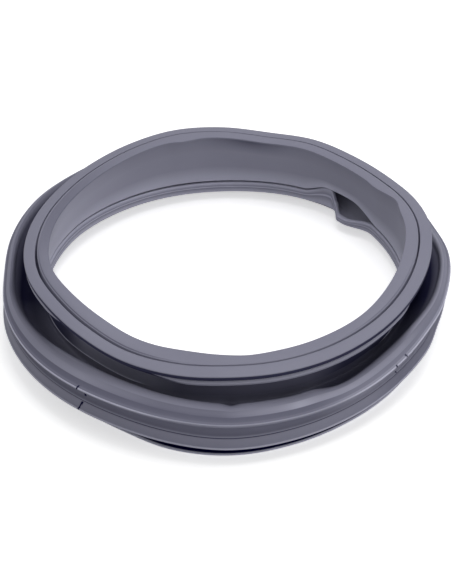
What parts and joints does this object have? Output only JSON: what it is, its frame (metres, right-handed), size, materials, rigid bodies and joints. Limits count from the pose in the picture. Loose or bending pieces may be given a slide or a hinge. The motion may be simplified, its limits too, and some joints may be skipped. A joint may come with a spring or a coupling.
{
  "type": "washing machine door seal",
  "caption": "Soft rubber door seal ring for a front-loading washing machine, with a slotted tub collar, a bellows fold, a skirt, a foot and a door lip with a moulded pocket.",
  "frame": {"origin": "middle of the outline, on the flat door-side face that the ring lies on", "axes": "+Z along the ring's axis, from the door side up to the tub side; -Y is the side nearest the camera"},
  "size_m": [0.3982, 0.4042, 0.0858],
  "materials": {
    "rubber": "satin grey moulded EPDM rubber"
  },
  "bodies": {
    "root": {"door_seal": "rubber"}
  },
  "joints": []
}
